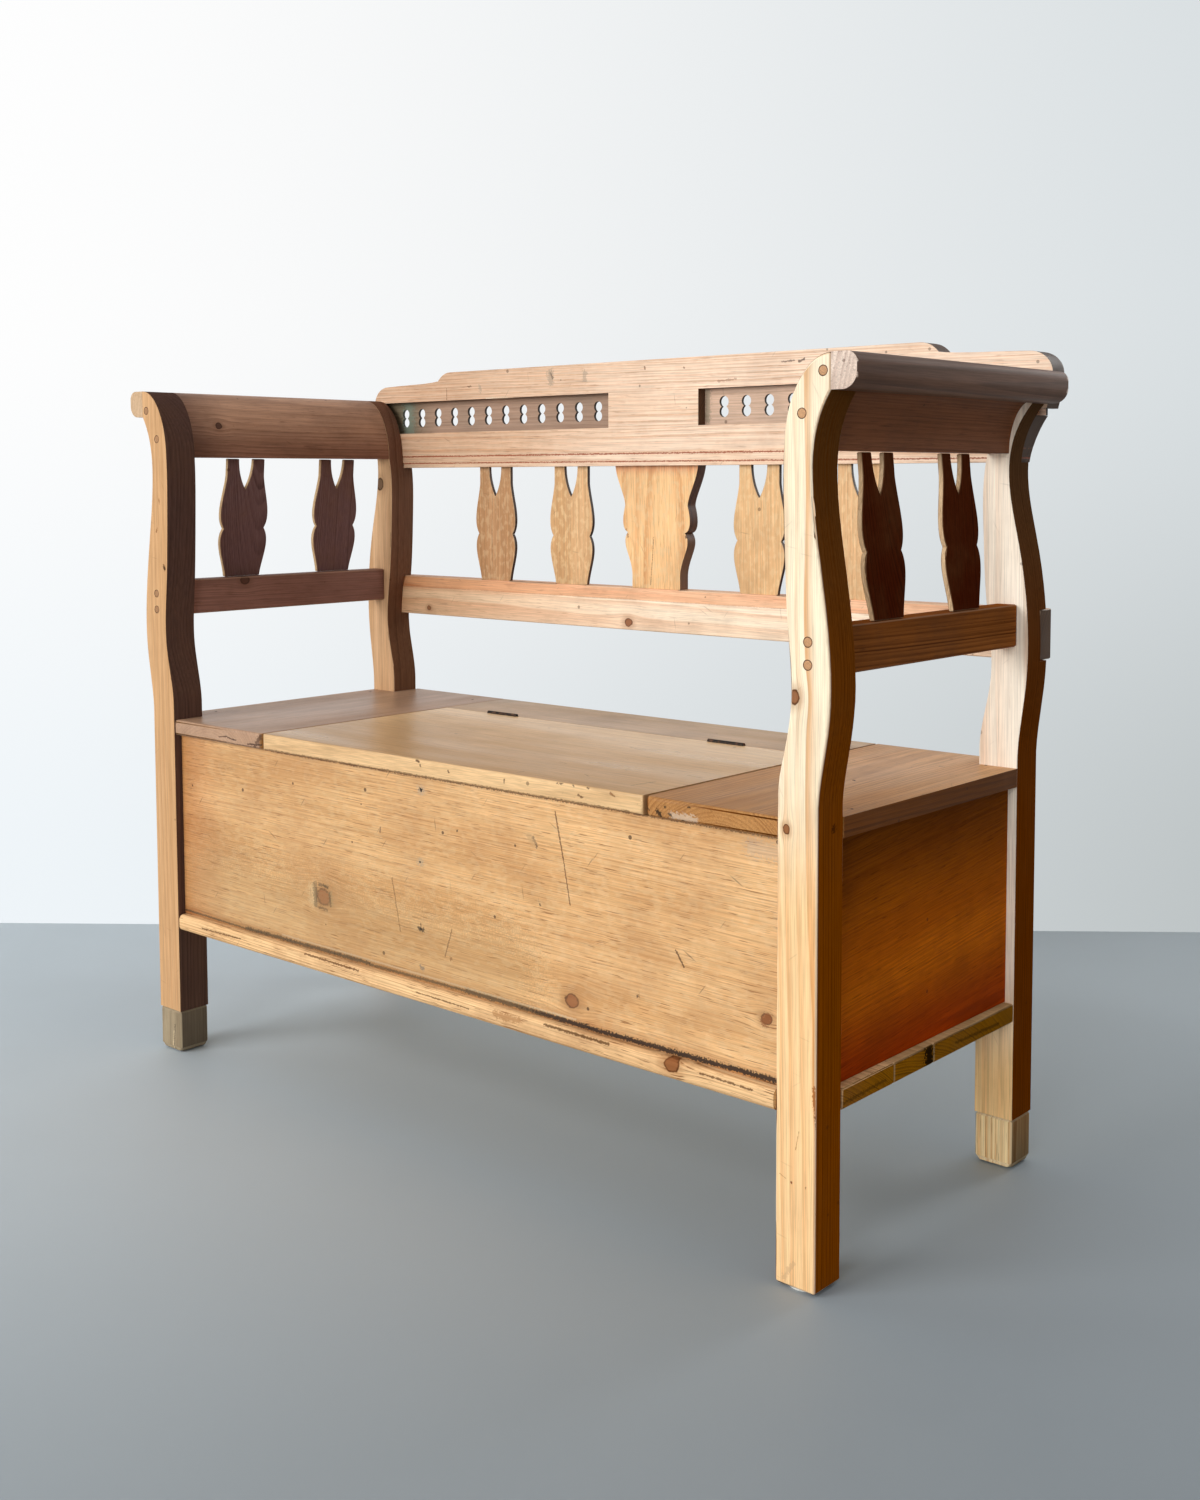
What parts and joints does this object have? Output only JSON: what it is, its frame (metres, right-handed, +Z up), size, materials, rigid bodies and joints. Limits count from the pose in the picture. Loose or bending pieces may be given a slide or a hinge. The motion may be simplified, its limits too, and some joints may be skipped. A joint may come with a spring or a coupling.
{
  "type": "monks bench",
  "caption": "Old pine monks bench: scrolled posts, open splat arms and back, pierced crest, and a chest under a hinged lid seat.",
  "frame": {"origin": "on the floor, under the middle of the bench's outer box", "axes": "+X along the bench, towards the arm on the right of someone looking at its front; -Y out of the front; +Z up"},
  "size_m": [1.24, 0.484, 1.001],
  "materials": {
    "post_pine": "old waxed pine, honey coloured, grain along the post, worn edges",
    "foot_pine": "greyed, scuffed pine with almost no wax",
    "arm_pine": "red-brown waxed pine, rubbed on the rolls",
    "splat_pine": "mottled tan pine, thin wax",
    "crest_pine": "pinkish pine with open grain lines, dull wax",
    "fret_pine": "thin pine with a grey-green patina",
    "panel_pine": "golden waxed pine with dents, scratches and knots",
    "side_pine": "deep orange-brown waxed pine",
    "seat_pine": "red-brown worn seat boards, rubbed edges",
    "lid_pine": "yellow pine polished by use, semi-gloss",
    "inner_pine": "bare, unwaxed pine",
    "peg_pine": "end grain of wooden pegs, darker than the posts",
    "hinge_iron": "dark oxidised iron",
    "glide_plastic": "plain white glide"
  },
  "bodies": {
    "bench": {"back_panel": "inner_pine", "back_pegs": "peg_pine", "centre_back_splat": "splat_pine", "crest_board": "crest_pine", "floor_front_board": "panel_pine", "floor_middle_board": "inner_pine", "floor_rear_board": "inner_pine", "front_left_foot_block": "foot_pine", "front_left_post": "post_pine", "front_panel": "panel_pine", "front_right_glide": "glide_plastic", "front_right_post": "post_pine", "left_arm_dowels": "peg_pine", "left_arm_front_splat": "arm_pine", "left_arm_panel": "arm_pine", "left_arm_rail": "arm_pine", "left_arm_rear_splat": "arm_pine", "left_arm_roll": "arm_pine", "left_fret_strip": "fret_pine", "left_hinge_fixed_leaf": "hinge_iron", "left_hinge_pin": "hinge_iron", "left_inner_back_splat": "splat_pine", "left_outer_back_splat": "splat_pine", "left_seat_board": "seat_pine", "left_side_panel": "side_pine", "lower_back_rail": "crest_pine", "rear_left_post": "post_pine", "rear_right_foot_block": "foot_pine", "rear_right_post": "post_pine", "rear_seat_strip": "seat_pine", "right_arm_dowels": "peg_pine", "right_arm_front_splat": "arm_pine", "right_arm_panel": "arm_pine", "right_arm_rail": "arm_pine", "right_arm_rear_splat": "arm_pine", "right_arm_roll": "arm_pine", "right_fret_strip": "fret_pine", "right_hinge_fixed_leaf": "hinge_iron", "right_hinge_pin": "hinge_iron", "right_inner_back_splat": "splat_pine", "right_outer_back_splat": "splat_pine", "right_seat_board": "seat_pine", "right_side_panel": "side_pine"},
    "lid": {"lid_board": "lid_pine", "left_lid_batten": "inner_pine", "right_lid_batten": "inner_pine", "left_hinge_lid_leaf": "hinge_iron", "right_hinge_lid_leaf": "hinge_iron"}
  },
  "joints": [
    {"name": "lid_hinge", "type": "hinge", "parent": "bench", "child": "lid", "pos_m": [0.0105, 0.1028, 0.4905], "axis": [-1, 0, 0], "range_deg": [0, 107]}
  ]
}
